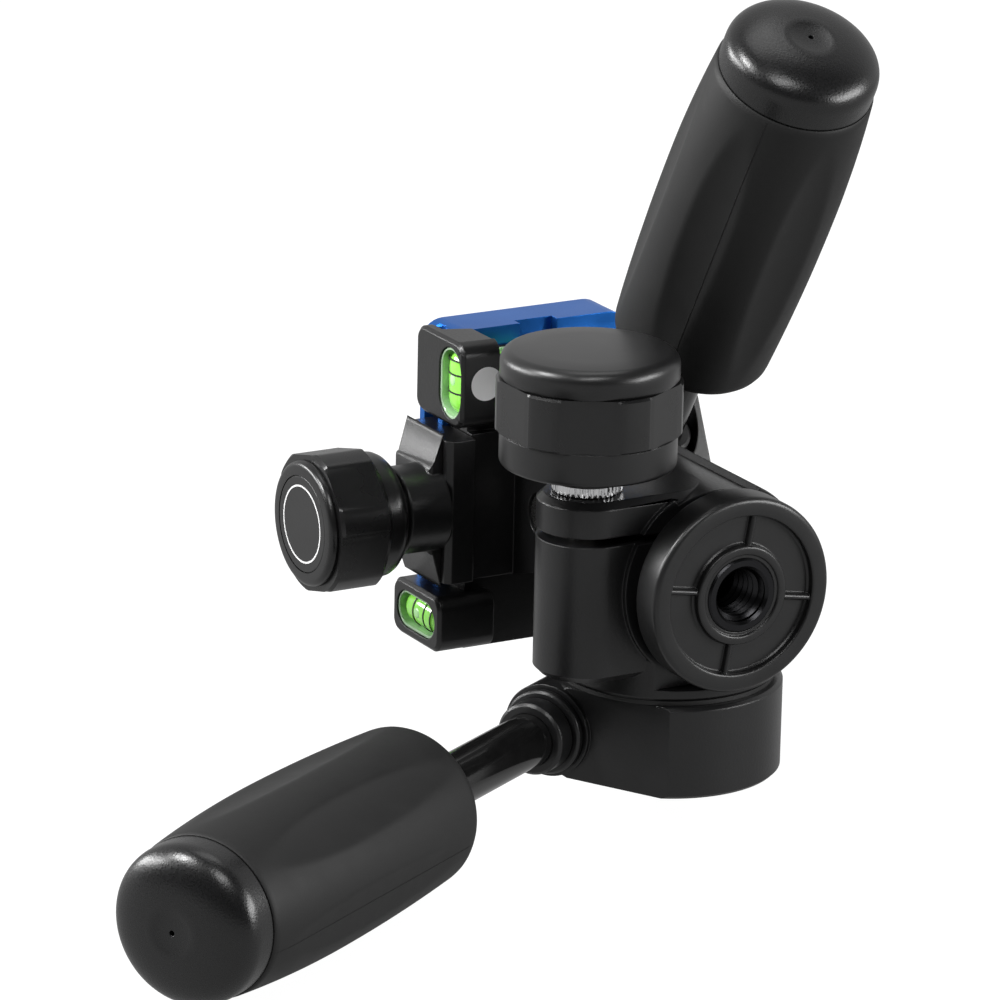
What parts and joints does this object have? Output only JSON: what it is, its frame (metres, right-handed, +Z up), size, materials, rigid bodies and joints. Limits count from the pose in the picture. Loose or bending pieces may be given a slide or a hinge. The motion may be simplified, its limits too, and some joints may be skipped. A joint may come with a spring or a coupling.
{
  "type": "three way pan tilt head",
  "caption": "Camera tripod head that pans, tilts and leans, with two screw-in handles, a pan lock knob and a quick-release plate clamp.",
  "frame": {"origin": "centre of the ground face of the base, on the tripod thread axis", "axes": "+Z up along the pan axis, +Y towards the front of the head, +X to the viewer's right, where the pan knob is"},
  "size_m": [0.1456, 0.1578, 0.1297],
  "materials": {
    "black_cast": "satin black powder coat",
    "black_satin": "satin black",
    "black_gloss": "fine pebbled gloss black",
    "black_rod": "gloss black",
    "grip_rubber": "matt moulded rubber",
    "steel": "turned steel",
    "chrome": "bright chrome",
    "bush_black": "blackened brass",
    "brass": "turned brass",
    "nylon": "black nylon",
    "blue": "blue anodised",
    "vial_green": "clear green",
    "white": "plain white",
    "pad_rubber": "ribbed rubber"
  },
  "bodies": {
    "base": {"base_flange": "black_cast", "thread_bush": "bush_black", "pan_spindle": "steel", "pan_friction_ring": "nylon"},
    "pan_stage": {"pan_housing": "black_cast", "pan_retaining_pin": "steel", "tilt_shaft": "steel", "tilt_washer": "nylon", "tilt_keeper": "steel", "tilt_keeper_screw": "steel"},
    "pan_knob": {"pan_knob_stud": "steel", "pan_knob_collar": "chrome", "pan_knob_hub": "black_satin", "pan_knob_ring": "black_satin", "pan_knob_cap": "black_gloss"},
    "tilt_stage": {"tilt_arm": "black_cast", "tilt_end_cover": "black_satin"},
    "tilt_handle": {"tilt_handle_thrust_ring": "black_cast", "tilt_handle_collar": "black_cast", "tilt_handle_rod": "black_rod", "tilt_handle_grip": "grip_rubber", "tilt_handle_cap": "black_gloss"},
    "lateral_stage": {"platform": "black_cast", "lateral_shaft": "steel", "lateral_brake_shoe": "brass", "rear_level_vial": "vial_green", "side_level_vial": "vial_green", "end_level_vial": "vial_green", "blank_disc": "white", "jaw_guide_pins": "steel"},
    "cross_handle": {"cross_handle_thrust_ring": "black_cast", "cross_handle_collar": "black_cast", "cross_handle_rod": "black_rod", "cross_handle_grip": "grip_rubber", "cross_handle_cap": "black_gloss"},
    "jaw": {"moving_jaw": "black_cast"},
    "clamp_knob": {"clamp_screw": "steel", "clamp_knob_collar": "black_cast", "clamp_knob": "black_satin", "clamp_knob_disc": "black_gloss"},
    "plate": {"camera_plate": "blue", "plate_pads": "pad_rubber"},
    "camera_screw": {"camera_screw": "steel", "camera_screw_ring": "chrome"}
  },
  "joints": [
    {"name": "pan", "type": "hinge", "parent": "base", "child": "pan_stage", "pos_m": [0, 0, 0.009], "axis": [0, 0, 1], "continuous": true},
    {"name": "pan_knob_turn", "type": "hinge", "parent": "pan_stage", "child": "pan_knob", "pos_m": [0.0214, -0.0205, 0.0187], "axis": [1, 0, 0], "range_deg": [0, 360]},
    {"name": "tilt", "type": "hinge", "parent": "pan_stage", "child": "tilt_stage", "pos_m": [0, 0, 0.02465], "axis": [1, 0, 0], "range_deg": [-75, 35]},
    {"name": "tilt_handle_turn", "type": "hinge", "parent": "tilt_stage", "child": "tilt_handle", "pos_m": [-0.02948, -0.00665, 0.03617], "axis": [0, -0.866, -0.5], "range_deg": [0, 360]},
    {"name": "lateral_tilt", "type": "hinge", "parent": "tilt_stage", "child": "lateral_stage", "pos_m": [0, 0, 0.0555], "axis": [0, 1, 0], "range_deg": [-30, 5]},
    {"name": "cross_handle_turn", "type": "hinge", "parent": "lateral_stage", "child": "cross_handle", "pos_m": [0, 0.012, 0.0591], "axis": [0.866, 0, -0.5], "range_deg": [0, 360]},
    {"name": "jaw_slide", "type": "slide", "parent": "lateral_stage", "child": "jaw", "axis": [0, -1, 0], "range_m": [0, 0.004]},
    {"name": "clamp_knob_turn", "type": "hinge", "parent": "jaw", "child": "clamp_knob", "pos_m": [0, -0.0234, 0.0687], "axis": [0, -1, 0], "range_deg": [0, 1152.01]},
    {"name": "plate_slide", "type": "slide", "parent": "lateral_stage", "child": "plate", "axis": [1, 0, 0], "range_m": [-0.012, 0.012]},
    {"name": "camera_screw_turn", "type": "hinge", "parent": "plate", "child": "camera_screw", "pos_m": [0, 0, 0.0725], "axis": [0, 0, 1], "continuous": true}
  ],
  "couplings": [
    {"joint": "clamp_knob_turn", "follows": "jaw_slide", "rad_per_m": 5026.5}
  ]
}
